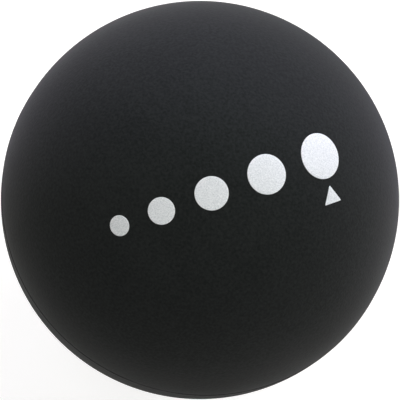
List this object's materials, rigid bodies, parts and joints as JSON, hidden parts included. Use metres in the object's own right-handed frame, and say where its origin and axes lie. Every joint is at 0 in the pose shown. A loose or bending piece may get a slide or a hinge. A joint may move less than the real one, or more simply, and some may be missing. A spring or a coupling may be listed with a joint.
{
  "type": "lacrosse ball",
  "caption": "Solid matte black rubber lacrosse ball, also used for massage, with a fine mould parting line round its middle and a printed firmness scale of growing dots on top.",
  "frame": {"origin": "centre of the ball", "axes": "+Z along the axis on which the mould opens, out of the printed half; the parting line lies in the XY plane; the print leans towards -Y, the front"},
  "size_m": [0.0636, 0.0636, 0.0636],
  "materials": {
    "moulded_rubber": "matte moulded black rubber with a fine grain",
    "printed_ink": "satin off-white printing ink"
  },
  "bodies": {
    "root": {"ball": "moulded_rubber", "firmness_dot_1": "printed_ink", "firmness_dot_2": "printed_ink", "firmness_dot_3": "printed_ink", "firmness_dot_4": "printed_ink", "firmness_dot_5": "printed_ink", "firmness_pointer": "printed_ink"}
  },
  "joints": []
}
